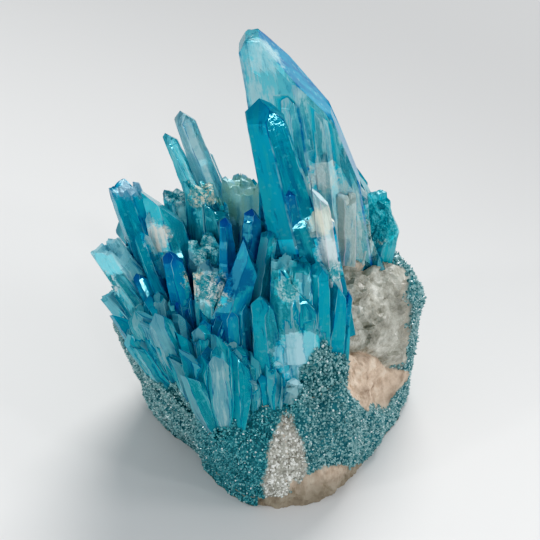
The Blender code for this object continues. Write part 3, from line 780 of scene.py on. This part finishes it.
def grains(name, place, normal, streak, coarse, seed):
    # Closed little double pyramids: a ring of six on the ground, a point above and one below.
    g = grainShape
    rng = np.random.default_rng(seed)
    count = len(place)
    along = normal + rng.normal(0, g["tilt"], (count, 3))
    along /= np.linalg.norm(along, axis=1)[:, None]
    across = np.cross(along, rng.normal(size=(count, 3)))
    across /= np.linalg.norm(across, axis=1)[:, None]
    deep = np.cross(along, across)
    radius = rng.uniform(*g["size"], count) * coarse * (1 + 0.6 * streak * rng.random(count))
    height = radius * rng.uniform(*g["rise"], count)
    ring = (across[:, None] * sixOut[None, :, :1] + deep[:, None] * sixOut[None, :, 1:]) * radius[:, None, None]
    ring = ring + place[:, None]
    top = place + along * height[:, None]
    bottom = place - along * radius[:, None]
    points = np.concatenate([ring, top[:, None], bottom[:, None]], axis=1).reshape(-1, 3)
    k = np.arange(6)
    kn = (k + 1) % 6
    unitFaces = np.concatenate([np.stack([k, kn, np.full(6, 6)], axis=1), np.stack([kn, k, np.full(6, 7)], axis=1)])
    faces = (np.arange(count)[:, None, None] * 8 + unitFaces[None]).reshape(-1, 3)
    made = makeObject(name, points, faces.tolist())
    shade = np.repeat(rng.random(count), 8)
    setValues(made.data, "shade", shade)
    setValues(made.data, "streak", np.repeat(streak, 8))
    return made


# Materials

def newMaterial(name):
    material = bpy.data.materials.new(name)
    material.use_nodes = True
    tree = material.node_tree
    return material, tree, tree.nodes["Principled BSDF"]


def attribute(tree, name):
    node = tree.nodes.new("ShaderNodeAttribute")
    node.attribute_name = name
    return node.outputs["Fac"]


def ramp(tree, factor, stops):
    node = tree.nodes.new("ShaderNodeValToRGB")
    ends = node.color_ramp.elements
    ends[0].position, ends[0].color = stops[0][0], (*stops[0][1], 1)
    ends[1].position, ends[1].color = stops[-1][0], (*stops[-1][1], 1)
    for at, colour in stops[1:-1]:
        ends.new(at).color = (*colour, 1)
    tree.links.new(factor, node.inputs["Fac"])
    return node.outputs["Color"]


def mixColour(tree, factor, one, two, blend="MIX"):
    node = tree.nodes.new("ShaderNodeMix")
    node.data_type = "RGBA"
    node.blend_type = blend
    for socket, value in ((node.inputs["Factor"], factor), (node.inputs[6], one), (node.inputs[7], two)):
        if isinstance(value, (int, float)):
            socket.default_value = value
        elif isinstance(value, tuple):
            socket.default_value = (*value, 1)
        else:
            tree.links.new(value, socket)
    return node.outputs[2]


def maths(tree, operation, *values):
    node = tree.nodes.new("ShaderNodeMath")
    node.operation = operation
    for socket, value in zip(node.inputs, values):
        if isinstance(value, (int, float)):
            socket.default_value = value
        else:
            tree.links.new(value, socket)
    return node.outputs[0]


def ranged(tree, value, low, high, least=0.0, most=1.0):
    node = tree.nodes.new("ShaderNodeMapRange")
    node.interpolation_type = "SMOOTHSTEP"
    for word, number in (("From Min", low), ("From Max", high), ("To Min", least), ("To Max", most)):
        node.inputs[word].default_value = number
    tree.links.new(value, node.inputs["Value"])
    return node.outputs["Result"]


def noise(tree, scale, detail=3.0, roughness=0.5, vector=None):
    node = tree.nodes.new("ShaderNodeTexNoise")
    node.inputs["Scale"].default_value = scale
    node.inputs["Detail"].default_value = detail
    node.inputs["Roughness"].default_value = roughness
    if vector is None:
        vector = tree.nodes.new("ShaderNodeTexCoord").outputs["Object"]
    tree.links.new(vector, node.inputs["Vector"])
    return node.outputs["Fac"]


def bump(tree, height, distance, strength=1.0):
    node = tree.nodes.new("ShaderNodeBump")
    node.inputs["Distance"].default_value = distance
    node.inputs["Strength"].default_value = strength
    tree.links.new(height, node.inputs["Height"])
    return node.outputs["Normal"]


# Broken, crumpled and cloudy places of the coated crystals: middle in mm, radius, colour, how crumpled. The crumpled
# ones' pale colour is partly painted glints; the three along the pale crystal beside the spire are its painted
# reflection.
cloudyPlaces = (
    ((-13, 3, 65), 4.4, (0.95, 0.90, 0.72), 1.0),
    ((-20, 7, 61), 3.4, (0.70, 0.84, 0.86), 0.9),
    ((-5, 6, 61), 7.5, (0.36, 0.56, 0.47), 0.15),
    ((-13, -8, 56), 4.5, (0.60, 0.84, 0.86), 0.8),
    ((-15, -16, 53), 3.6, (0.95, 0.82, 0.62), 1.0),
    ((-11, -18, 53), 5.4, (0.90, 0.94, 0.92), 1.0),
    ((-36, -4, 52), 6.5, (0.34, 0.66, 0.74), 0.3),
    ((-36, -8, 46), 3.6, (0.80, 0.90, 0.92), 0.9),
    ((-31, 7, 64), 4.5, (0.30, 0.48, 0.62), 0.4),
    ((28, 16, 47), 8.0, (0.14, 0.52, 0.60), 0.8),
    ((15, 6, 66), 5.5, (0.86, 0.84, 0.76), 0.5),
    ((19, 6, 57), 9.0, (0.56, 0.64, 0.60), 0.3),
    ((23, 8, 46), 9.0, (0.56, 0.60, 0.55), 0.3),
    ((5, -15, 60), 4.5, (0.24, 0.42, 0.48), 0.2),
    ((6, -20, 54), 4.0, (0.50, 0.78, 0.80), 0.8),
    ((9, -26, 39), 7.5, (0.46, 0.72, 0.80), 0.15),
    # painted reflection: the yellow-white streak along the pale crystal beside the spire
    ((14, -10, 66), 4.4, (0.95, 0.92, 0.76), 0.2),
    ((1, 10, 97), 5.5, (0.50, 0.80, 0.86), 0.3),
    ((-6, -18, 56), 5.0, (0.0, 0.22, 0.44), 0),
    ((-25, -5, 57), 4.4, (0.92, 0.86, 0.78), 0.3),
    ((-23.5, -8, 51), 3.8, (0.55, 0.75, 0.78), 0.3),
    # painted reflection: more of the same streak, further down that crystal
    ((15.5, -12, 59), 4.4, (0.85, 0.90, 0.90), 0.3),
    ((17, -13, 53), 3.4, (0.70, 0.80, 0.80), 0.6),
)


def separate(tree, vector):
    node = tree.nodes.new("ShaderNodeSeparateXYZ")
    tree.links.new(vector, node.inputs[0])
    return node.outputs


def combine(tree, *values):
    node = tree.nodes.new("ShaderNodeCombineXYZ")
    for socket, value in zip(node.inputs, values):
        if isinstance(value, (int, float)):
            socket.default_value = value
        else:
            tree.links.new(value, socket)
    return node.outputs[0]


def distanceTo(tree, vector, place):
    node = tree.nodes.new("ShaderNodeVectorMath")
    node.operation = "DISTANCE"
    tree.links.new(vector, node.inputs[0])
    node.inputs[1].default_value = place
    return node.outputs["Value"]


def cells(tree, scale, vector=None):
    # a random value in each cell, and the distance to its middle
    node = tree.nodes.new("ShaderNodeTexVoronoi")
    node.inputs["Scale"].default_value = scale
    if vector is None:
        vector = tree.nodes.new("ShaderNodeTexCoord").outputs["Object"]
    tree.links.new(vector, node.inputs["Vector"])
    return separate(tree, node.outputs["Color"])[0], node.outputs["Distance"]


def coatPattern():
    # Colour, roughness and normal of the coated quartz, for every material of it
    tree = bpy.data.node_groups.new("coatPattern", "ShaderNodeTree")
    links = tree.links
    tree.interface.new_socket("Veils", in_out="INPUT", socket_type="NodeSocketFloat")
    for word, kind in (("Colour", "NodeSocketColor"), ("Roughness", "NodeSocketFloat"), ("Normal", "NodeSocketVector")):
        tree.interface.new_socket(word, in_out="OUTPUT", socket_type=kind)
    veils = tree.nodes.new("NodeGroupInput").outputs["Veils"]
    result = tree.nodes.new("NodeGroupOutput").inputs
    shade = attribute(tree, "shade")
    rise = attribute(tree, "rise")
    objectPlace = tree.nodes.new("ShaderNodeTexCoord").outputs["Object"]
    growth = tree.nodes.new("ShaderNodeUVMap")
    growth.uv_map = "growth"
    u, v, _ = separate(tree, growth.outputs["UV"])
    wide = maths(tree, "MULTIPLY", u, attribute(tree, "broad"))

    # the palest end of the shades is near white: on the crystal beside the spire it is a painted reflection, on the
    # blade's snapped foot the milky quartz's own colour
    body = ramp(tree, shade, ((0.0, (0.0, 0.29, 0.60)), (0.2, (0.0, 0.49, 0.70)), (0.45, (0.0, 0.64, 0.76)),
                              (0.8, (0.22, 0.76, 0.87)), (0.92, (0.48, 0.86, 0.93)), (1.0, (0.88, 0.90, 0.84))))
    # each face its own tone, picked at random: greener and darker (painted shade of light reflected away inside),
    # plain, or pale grey-lavender (painted reflection)
    key = tree.nodes.new("ShaderNodeTexWhiteNoise")
    key.noise_dimensions = "3D"
    side = maths(tree, "FLOOR", u)
    links.new(combine(tree, side, maths(tree, "MULTIPLY", shade, 37.0), 0.5), key.inputs["Vector"])
    tone = key.outputs["Value"]
    faceChoice = separate(tree, key.outputs["Color"])[1]
    body = mixColour(tree, ranged(tree, tone, 0.34, 0.14, 0, 0.65), body, (0.0, 0.22, 0.27))
    pale = maths(tree, "MULTIPLY", ranged(tree, tone, 0.54, 0.72, 0, 0.80), ranged(tree, shade, 0.27, 0.36))
    body = mixColour(tree, pale, body, (0.34, 0.54, 0.62))

    # the blade's edge and bevel on the right are the deepest blue
    facing = separate(tree, tree.nodes.new("ShaderNodeNewGeometry").outputs["True Normal"])[0]
    blade = maths(tree, "MULTIPLY", ranged(tree, shade, 0.765, 0.775), ranged(tree, shade, 0.795, 0.785))
    bevel = maths(tree, "MULTIPLY", ranged(tree, facing, 0.50, 0.60, 0, 0.95), blade)

    # veils and streaks that run along the growth, broad ones and thin ones
    alongGrowth = combine(tree, maths(tree, "MULTIPLY", wide, 0.30), maths(tree, "MULTIPLY", v, 0.70),
                          maths(tree, "MULTIPLY", shade, 9.0))
    streaks = noise(tree, 1.0, 6, 0.68, alongGrowth)
    lightness = ranged(tree, shade, 0.30, 0.80)
    veilTint = mixColour(tree, lightness, (0.04, 0.58, 0.68), (0.68, 0.90, 0.92))
    veil = maths(tree, "MULTIPLY", ranged(tree, streaks, 0.51, 0.59), veils)
    body = mixColour(tree, veil, body, veilTint)
    body = mixColour(tree, ranged(tree, streaks, 0.46, 0.36, 0, 0.80), body, (0.0, 0.22, 0.38))
    thin = combine(tree, maths(tree, "MULTIPLY", wide, 1.6), maths(tree, "MULTIPLY", v, 0.9), shade)
    threads = noise(tree, 1.0, 3, 0.6, thin)
    threadTint = mixColour(tree, lightness, (0.06, 0.58, 0.68), (0.62, 0.86, 0.88))
    body = mixColour(tree, ranged(tree, threads, 0.58, 0.70, 0, 0.70), body, threadTint)

    body = mixColour(tree, bevel, body, ramp(tree, streaks, ((0.38, (0.0, 0.12, 0.36)), (0.62, (0.0, 0.36, 0.58)))))

    # tips take more of the coat on the darker crystals
    tips = ranged(tree, rise, 0.84, 1.0, 0, 0.85)
    tips = maths(tree, "MULTIPLY", tips, ranged(tree, shade, 0.32, 0.08, 0.10, 1))
    body = mixColour(tree, tips, body, (0.0, 0.12, 0.46))

    # fine line along each edge: light ones are painted highlights on the bevels, cobalt ones the coat's deeper blue
    # with painted shade; on the palest crystals the line is a pink painted sheen
    across = maths(tree, "ABSOLUTE", maths(tree, "SUBTRACT", maths(tree, "FRACT", u), 0.5))
    edge = ranged(tree, across, 0.440, 0.475)
    edgeHighlightAndShadeTint = ramp(tree, noise(tree, 260, 2), ((0.42, (0.0, 0.14, 0.42)), (0.58, (0.55, 0.80, 0.86))))
    edgeHighlightAndShadeTint = mixColour(tree, ranged(tree, shade, 0.94, 0.98), edgeHighlightAndShadeTint, (0.85, 0.58, 0.80))
    body = mixColour(tree, maths(tree, "MULTIPLY", edge, 0.65), body, edgeHighlightAndShadeTint)

    # tiny pale specks
    speck, _ = cells(tree, 1500)
    body = mixColour(tree, ranged(tree, speck, 0.92, 0.98, 0, 0.35), body, (0.26, 0.66, 0.72))

    # cloudy and crumpled places; the calmer ones keep to whole faces. The crumpled ones get painted shade, teal in
    # their creases and in broad patches, between pale parts that are partly painted glints
    wander = noise(tree, 330, 5, 0.75)
    sheet = noise(tree, 560, 3, 0.65)
    crease = maths(tree, "ABSOLUTE", maths(tree, "SUBTRACT", sheet, 0.5))
    foil = maths(tree, "MULTIPLY", ranged(tree, crease, 0.004, 0.050, 0.10, 1.0),
                 ranged(tree, noise(tree, 480, 4, 0.6), 0.42, 0.56, 0.20, 1.0))
    calmTint = ranged(tree, streaks, 0.40, 0.58, 0.45, 1.0)
    wholeFaces = ranged(tree, faceChoice, 0.25, 0.30, 0.40, 1.0)
    crumple = None
    for place, radius, colour, crumpled in cloudyPlaces:
        away = distanceTo(tree, objectPlace, tuple((np.array(place) - middle) * mm))
        away = maths(tree, "MULTIPLY_ADD", wander, -2.2 * radius * mm, away)
        weight = ranged(tree, away, -0.10 * radius * mm, -0.50 * radius * mm)
        if crumpled == 0:
            mottled = colour
        elif crumpled < 0.6:
            weight = maths(tree, "MULTIPLY", weight, wholeFaces)
            mottled = mixColour(tree, calmTint, body, colour)
        else:
            mottled = mixColour(tree, foil, (0.0, 0.33, 0.40), colour)
        body = mixColour(tree, weight, body, mottled)
        part = maths(tree, "MULTIPLY", weight, crumpled)
        crumple = part if crumple is None else maths(tree, "MAXIMUM", crumple, part)

    body = mixColour(tree, attribute(tree, "grown"), body, (0.03, 0.17, 0.19))  # under the druse that has grown over it
    links.new(body, result["Colour"])
    links.new(maths(tree, "MULTIPLY_ADD", maths(tree, "MAXIMUM", pale, crumple), 0.16, 0.05), result["Roughness"])
    lines = noise(tree, 1.0, 2, 0.5, combine(tree, maths(tree, "MULTIPLY", u, 0.8), maths(tree, "MULTIPLY", v, 9.0), shade))
    wavy = tree.nodes.new("ShaderNodeBump")
    wavy.inputs["Distance"].default_value = 0.00012
    wavy.inputs["Strength"].default_value = 0.6
    links.new(noise(tree, 210, 3, 0.55), wavy.inputs["Height"])
    faceBump = tree.nodes.new("ShaderNodeBump")
    faceBump.inputs["Distance"].default_value = 0.00002
    faceBump.inputs["Strength"].default_value = 0.5
    links.new(lines, faceBump.inputs["Height"])
    links.new(wavy.outputs["Normal"], faceBump.inputs["Normal"])
    faceBump = faceBump.outputs["Normal"]
    crumpleBump = tree.nodes.new("ShaderNodeBump")
    crumpleBump.inputs["Distance"].default_value = 0.0022
    links.new(crumple, crumpleBump.inputs["Strength"])
    links.new(sheet, crumpleBump.inputs["Height"])
    links.new(faceBump, crumpleBump.inputs["Normal"])
    links.new(crumpleBump.outputs["Normal"], result["Normal"])
    return tree


def quartzMaterial(name, pattern, clearness, veils, density):
    material, tree, shader = newMaterial(name)
    coat = tree.nodes.new("ShaderNodeGroup")
    coat.node_tree = pattern
    coat.inputs["Veils"].default_value = veils
    for word, socket in (("Colour", "Base Color"), ("Roughness", "Roughness"), ("Normal", "Normal")):
        tree.links.new(coat.outputs[word], shader.inputs[socket])
    shader.inputs["IOR"].default_value = 1.55
    shader.inputs["Transmission Weight"].default_value = clearness
    shader.inputs["Specular Tint"].default_value = (0.35, 0.88, 1.0, 1)
    depth = tree.nodes.new("ShaderNodeVolumeAbsorption")
    depth.inputs["Color"].default_value = (0.25, 0.80, 0.90, 1)
    depth.inputs["Density"].default_value = density
    tree.links.new(depth.outputs["Volume"], tree.nodes["Material Output"].inputs["Volume"])
    return material


def pointShade(mesh):
    # each face's shade, told by its first corner
    shade = np.empty(len(mesh.vertices), np.float32)
    mesh.attributes["shade"].data.foreach_get("value", shade)
    start = np.empty(len(mesh.polygons), np.int32)
    mesh.polygons.foreach_get("loop_start", start)
    corner = np.empty(len(mesh.loops), np.int32)
    mesh.loops.foreach_get("vertex_index", corner)
    return shade[corner[start]]


def grainMaterial(name):
    material, tree, shader = newMaterial(name)
    links = tree.links
    shade = attribute(tree, "shade")
    # the palest few grains, near white, are painted sparkles
    teal = ramp(tree, shade, ((0.0, (0.02, 0.17, 0.20)), (0.5, (0.07, 0.29, 0.32)), (0.88, (0.17, 0.42, 0.45)),
                              (0.97, (0.34, 0.54, 0.55)), (1.0, (0.90, 0.92, 0.92))))
    white = ramp(tree, shade, ((0.0, (0.25, 0.24, 0.21)), (0.5, (0.58, 0.57, 0.52)), (1.0, (0.95, 0.95, 0.92))))
    tint = mixColour(tree, attribute(tree, "streak"), teal, white)
    links.new(tint, shader.inputs["Base Color"])
    shader.inputs["Roughness"].default_value = 0.16
    shader.inputs["IOR"].default_value = 1.6
    return material


def groundMaterial(name):
    # Under the druse, over the milky quartz and the rock: which one is told by the masks.
    material, tree, shader = newMaterial(name)
    links = tree.links
    mottle = noise(tree, 220, 5, 0.6)
    rockTint = ramp(tree, mottle, ((0.30, (0.33, 0.24, 0.18)), (0.5, (0.64, 0.49, 0.38)), (0.7, (0.82, 0.69, 0.56))))
    milkTint = ramp(tree, noise(tree, 150, 6, 0.7), ((0.34, (0.19, 0.185, 0.155)), (0.46, (0.34, 0.33, 0.28)),
                                                     (0.58, (0.54, 0.53, 0.47)), (0.70, (0.88, 0.87, 0.80))))
    druseTint = ramp(tree, mottle, ((0.3, (0.008, 0.08, 0.10)), (0.7, (0.05, 0.22, 0.25))))
    streakTint = ramp(tree, mottle, ((0.3, (0.26, 0.25, 0.21)), (0.7, (0.60, 0.59, 0.54))))
    height = separate(tree, tree.nodes.new("ShaderNodeTexCoord").outputs["Object"])[2]
    # painted shade: the rock turns darker and greyer in its lowest 12 mm, near the floor
    rockTint = mixColour(tree, ranged(tree, height, 0.012, 0.002, 0, 0.75), rockTint, (0.22, 0.20, 0.16))
    tint = mixColour(tree, attribute(tree, "drusy"), rockTint, druseTint)
    tint = mixColour(tree, attribute(tree, "milky"), tint, milkTint)
    tint = mixColour(tree, attribute(tree, "streak"), tint, streakTint)
    links.new(tint, shader.inputs["Base Color"])
    rough = maths(tree, "MULTIPLY_ADD", attribute(tree, "milky"), -0.6, 0.85)
    links.new(rough, shader.inputs["Roughness"])
    links.new(bump(tree, noise(tree, 900, 3, 0.6), 0.0004, 0.7), shader.inputs["Normal"])
    return material


# Build

print("crystals")
pieces = []
sockets = []
everyRow = []
for order, (name, rows) in enumerate(crystalGroups.items()):
    rows = list(rows) + companions(rows, companionShape["count"].get(name, 0), 900 + order)
    everyRow += rows
    piece = crystalGroup(name + "_crystals", rows, 100 * (order + 1))
    applied(piece, "DIFFERENCE", sockets)
    sockets.append(crystalGroup(name + "_socket", rows, 100 * (order + 1), grow=0.08))
    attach(piece, "root")
    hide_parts(name)
    pieces.append(piece)
    print(name, len(piece.data.vertices))

print("root and rock")
smallRows = stubRows() + wallRows()
everyRow += smallRows
points = united([crystal("small" + str(k), dict(zip(specWords, row)), 5000 + k) for k, row in enumerate(smallRows)])
points.name = "root_points"
print("small crystals", len(points.data.vertices))
root = bodySurface("quartz_root_mass")
rock = bodySurface("host_rock_body")
belowBed = slab("belowBed", bodyShape["bedPoint"], -unit(bodyShape["bedNormal"]))
aboveBed = slab("aboveBed", bodyShape["bedPoint"], bodyShape["bedNormal"])
standing = slab("standing", bodyShape["slabPoint"], bodyShape["slabBack"])
overStanding = slab("overStanding", bodyShape["slabPoint"], -unit(bodyShape["slabTop"]))
floorBlock = slab("floorBlock", (0, 0, 0), (0, 0, -1))
applied(standing, "DIFFERENCE", [overStanding])
applied(root, "DIFFERENCE", sockets + [belowBed, standing])
applied(points, "DIFFERENCE", sockets + [belowBed])
applied(aboveBed, "DIFFERENCE", [standing])
applied(rock, "DIFFERENCE", sockets + [aboveBed, floorBlock])
drop(sockets + [belowBed, aboveBed, standing, overStanding, floorBlock])
for piece, node, slotName in ((root, "quartz_root", "root_quartz"), (points, "quartz_root", "root_quartz"), (rock, "host_rock", "host_rock")):
    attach(piece, "root")
    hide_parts(node)

print("druse")
place, normal, streak, coarse = scattered()
free = ~insideCrystals(place, everyRow, -0.3)
place, normal, streak, coarse = place[free], normal[free], streak[free], coarse[free]
print("grains", len(place))
patches = []
sides = np.where(place[:, 1] > 8, 2, np.where(place[:, 0] < -4, 0, 1))
for k, word in enumerate(("left", "front", "back")):
    pick = sides == k
    print(word, pick.sum())
    patch = grains("druse_" + word, place[pick], normal[pick], streak[pick], coarse[pick], 70 + k)
    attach(patch, "root")
    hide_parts("quartz_root")
    patches.append(patch)
grown = [np.concatenate(part) for part in zip(*(scatteredOver(piece, 40 + k) for k, piece in enumerate(pieces + [points])))]
place = grown[0]
sides = np.where(place[:, 1] > 8, 2, np.where(place[:, 0] < -4, 0, 1))
for k, word in enumerate(("left", "front", "back")):
    pick = sides == k
    print("over", word, pick.sum())
    patch = grains("overgrowth_" + word, *(part[pick] for part in grown), 80 + k)
    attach(patch, "root")
    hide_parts("quartz_root")
    patches.append(patch)

print("materials")
pattern = coatPattern()
quartz = quartzMaterial("coatedQuartz", pattern, 0.50, 0.75, 14)
clearQuartz = quartzMaterial("clearCoatedQuartz", pattern, 0.62, 0.85, 10)
cloudyQuartz = quartzMaterial("cloudyCoatedQuartz", pattern, 0.15, 0.75, 10)
druse = grainMaterial("druseGrains")
earth = groundMaterial("rockAndMilkyQuartz")
clear = [piece for piece in pieces if piece.name.startswith(("tall", "twin", "front_spire", "back_fan"))]
solid = [piece for piece in pieces if piece not in clear]
for group, material in ((clear, clearQuartz), (solid + [points], quartz), (patches, druse), ([root, rock], earth)):
    for piece in group:
        piece.data.materials.clear()
        piece.data.materials.append(material)


for piece in clear + solid + [points]:
    piece.data.materials.append(cloudyQuartz)
    faces = piece.data.polygons
    centres = np.empty(len(faces) * 3)
    faces.foreach_get("center", centres)
    centres = centres.reshape(-1, 3) / mm + middle
    facing = np.empty(len(faces) * 3)
    faces.foreach_get("normal", facing)
    shade = pointShade(piece.data)
    cloudy = (shade > 0.96).astype(np.int32)
    cloudy |= ((np.abs(shade - 0.78) < 0.01) & (facing[0::3] > 0.5)).astype(np.int32)
    for spot, radius, _, crumpled in cloudyPlaces:
        if crumpled > 0:
            cloudy |= (np.linalg.norm(centres - np.array(spot), axis=1) < radius * 0.85).astype(np.int32)
    faces.foreach_set("material_index", cloudy)

print("stage")
stageShape = {"floorSize": 3.0, "floorNear": (0.70, 0.69, 0.69), "floorFar": (0.47, 0.465, 0.47),
              "worldColour": (0.87, 0.96, 1.0), "worldStrength": 0.47,
              "sunColour": (1.0, 0.985, 0.96), "sunStrength": 2.7, "sunSpread": 34, "sunFrom": (0.22, 0.77, 0.63)}
floorMesh = bpy.data.meshes.new("floor")
half = stageShape["floorSize"]
floorMesh.from_pydata([(-half, -half, 0), (half, -half, 0), (half, half, 0), (-half, half, 0)], [], [(0, 1, 2, 3)])
floor = bpy.data.objects.new("floor", floorMesh)
scene.collection.objects.link(floor)
floorMaterial, floorTree, floorShader = newMaterial("paleFloor")
floorPlace = separate(floorTree, floorTree.nodes.new("ShaderNodeTexCoord").outputs["Object"])
# painted fall-off of the light: the floor darkens from near to far, towards the back right
away = maths(floorTree, "MULTIPLY_ADD", floorPlace[0], 0.8, floorPlace[1])
floorPaintedFalloff = mixColour(floorTree, ranged(floorTree, away, 0.0, 0.26), stageShape["floorNear"], stageShape["floorFar"])
floorTree.links.new(floorPaintedFalloff, floorShader.inputs["Base Color"])
floorShader.inputs["Roughness"].default_value = 0.7
floorMesh.materials.append(floorMaterial)

world = bpy.data.worlds.new("softRoom")
world.use_nodes = True
world.node_tree.nodes["Background"].inputs["Color"].default_value = (*stageShape["worldColour"], 1)
world.node_tree.nodes["Background"].inputs["Strength"].default_value = stageShape["worldStrength"]
scene.world = world

sun = bpy.data.lights.new("skylight", "SUN")
sun.energy = stageShape["sunStrength"]
sun.color = stageShape["sunColour"]
sun.angle = math.radians(stageShape["sunSpread"])
sunHolder = bpy.data.objects.new("skylight", sun)
scene.collection.objects.link(sunHolder)
sunHolder.rotation_mode = "QUATERNION"
sunHolder.rotation_quaternion = Vector(stageShape["sunFrom"]).to_track_quat("Z", "Y")

lights = (
    # name, place, size, radiance; all are aimed at lightAim
    ("window", (0.50, -0.10, 0.35), (0.16, 0.30), 3.5),
    ("rightCard", (0.42, -0.51, 0.104), (0.12, 0.03), 34.0),
    ("leftCard", (-0.46, -0.42, 0.16), (0.26, 0.22), 2.6),
    ("sparkleLeft", (-0.42, -0.15, 0.42), (0.045, 0.045), 40.0),
    ("sparkleFront", (0.10, -0.50, 0.50), (0.045, 0.045), 40.0),
    ("sparkleRight", (0.40, -0.30, 0.45), (0.045, 0.045), 40.0),
)
lightAim = Vector((0, 0, 0.055))
for name, place, size, radiance in lights:
    lamp = bpy.data.lights.new(name, "AREA")
    lamp.shape = "RECTANGLE"
    lamp.size, lamp.size_y = size
    lamp.energy = radiance * math.pi * size[0] * size[1]
    holder = bpy.data.objects.new(name, lamp)
    scene.collection.objects.link(holder)
    holder.location = place
    holder.rotation_mode = "QUATERNION"
    holder.rotation_quaternion = (lightAim - Vector(place)).to_track_quat("-Z", "Y")
    holder.visible_camera = False

cameraShape = {"elevation": 38.0, "distance": 0.360, "lens": 100, "target": (2.017, 0, 44)}
camera = bpy.data.cameras.new("photoView")
cameraObject = bpy.data.objects.new("photoView", camera)
scene.collection.objects.link(cameraObject)
up = math.radians(cameraShape["elevation"])
back = Vector((0, -math.cos(up), math.sin(up)))
cameraObject.location = Vector(cameraShape["target"]) * mm + back * cameraShape["distance"]
cameraObject.rotation_mode = "QUATERNION"
cameraObject.rotation_quaternion = (-back).to_track_quat("-Z", "Y")
camera.lens = cameraShape["lens"]
camera.sensor_width = 36
camera.clip_start = 0.01
scene.camera = cameraObject
scene.view_settings.view_transform = "Standard"
scene.view_settings.use_curve_mapping = True
toneCurve = scene.view_settings.curve_mapping.curves[3]
for dark, shown in ((0.03, 0.006), (0.09, 0.055), (0.22, 0.215), (0.5, 0.53)):
    toneCurve.points.new(dark, shown)
scene.view_settings.curve_mapping.update()
